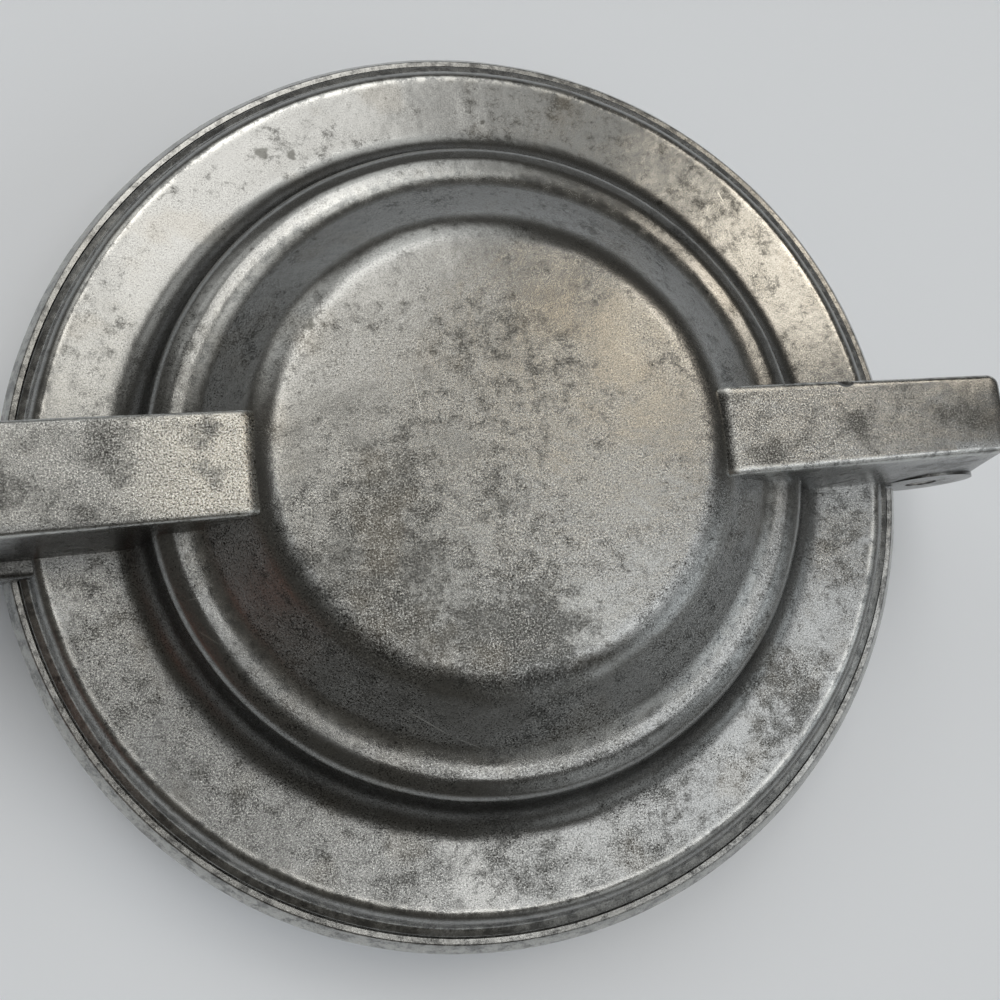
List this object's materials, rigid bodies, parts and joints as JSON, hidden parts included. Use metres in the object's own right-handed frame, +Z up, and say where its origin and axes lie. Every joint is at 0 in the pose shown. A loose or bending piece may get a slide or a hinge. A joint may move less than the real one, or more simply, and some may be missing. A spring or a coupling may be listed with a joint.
{
  "type": "pie iron",
  "caption": "Round cast aluminium pie iron: two hinged half moulds with a pinched rim, steel rods, split turned wood grip and a wire latch loop.",
  "frame": {"origin": "centre of the flat plateau of the lower half mould, on the surface that the iron rests on", "axes": "+Z up through the two plateaus, +X from the grips to the hinge, the iron's long way"},
  "size_m": [0.4836, 0.1152, 0.0342],
  "materials": {
    "cast_aluminium": "cast and tumbled, dull, mottled with baked-on stains, worn bright on the high faces",
    "drawn_steel": "drawn bar, dulled by heat",
    "rivet_steel": "headed and peened, dull",
    "washer_steel": "stamped, dull",
    "ferrule_steel": "pressed sheet, scuffed",
    "latch_wire": "bent wire, dull",
    "grip_wood": "turned hardwood, dark stain and worn varnish"
  },
  "bodies": {
    "lower": {"lower_shell": "cast_aluminium", "lower_rod": "drawn_steel", "lower_socket_rivet": "rivet_steel", "lower_ferrule": "ferrule_steel", "lower_grip": "grip_wood", "lower_grip_pin": "rivet_steel", "lower_butt_washer": "washer_steel"},
    "upper": {"hinge_pin": "rivet_steel", "upper_shell": "cast_aluminium", "upper_rod": "drawn_steel", "upper_socket_rivet": "rivet_steel", "upper_ferrule": "ferrule_steel", "upper_grip": "grip_wood", "upper_grip_pin": "rivet_steel", "upper_butt_washer": "washer_steel"},
    "latch": {"latch_loop": "latch_wire"}
  },
  "joints": [
    {"name": "hinge_open", "type": "hinge", "parent": "lower", "child": "upper", "pos_m": [0.0601, 0, 0.0171], "axis": [0, 1, 0], "range_deg": [0, 120]},
    {"name": "latch_swing", "type": "hinge", "parent": "lower", "child": "latch", "pos_m": [-0.39565, 0, 0.0091], "axis": [0, 1, 0], "range_deg": [-100, 128.6]}
  ]
}
